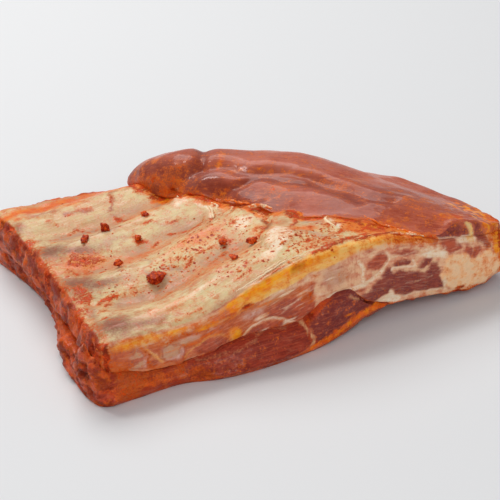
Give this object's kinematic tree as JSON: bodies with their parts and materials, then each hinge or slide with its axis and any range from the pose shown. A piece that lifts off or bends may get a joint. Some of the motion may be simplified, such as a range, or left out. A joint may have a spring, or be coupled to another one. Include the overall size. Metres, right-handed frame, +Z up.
{
  "type": "marinated pork ribs",
  "caption": "Raw marinated pork rib slab lying bone side up, with its sawn rib ends, a cut face that shows fat, muscle and cartilage, and a thick dark muscle over its far side.",
  "frame": {"origin": "middle of the footprint of the whole piece, on the board it lies on", "axes": "+X along the ribs from the sawn ends to the breast end, +Y across the ribs away from the cut face, +Z up"},
  "size_m": [0.187, 0.1496, 0.0438],
  "materials": {
    "membrane_and_meat": "moist",
    "yellow_fat": "moist",
    "dark_muscle": "moist",
    "cartilage": "moist",
    "marinated_meat": "moist",
    "skirt_muscle": "moist"
  },
  "bodies": {
    "root": {"rib_slab": "membrane_and_meat", "fat_layer": "yellow_fat", "chest_muscle": "dark_muscle", "cartilage": "cartilage", "outer_meat": "marinated_meat", "skirt": "skirt_muscle"}
  },
  "joints": []
}
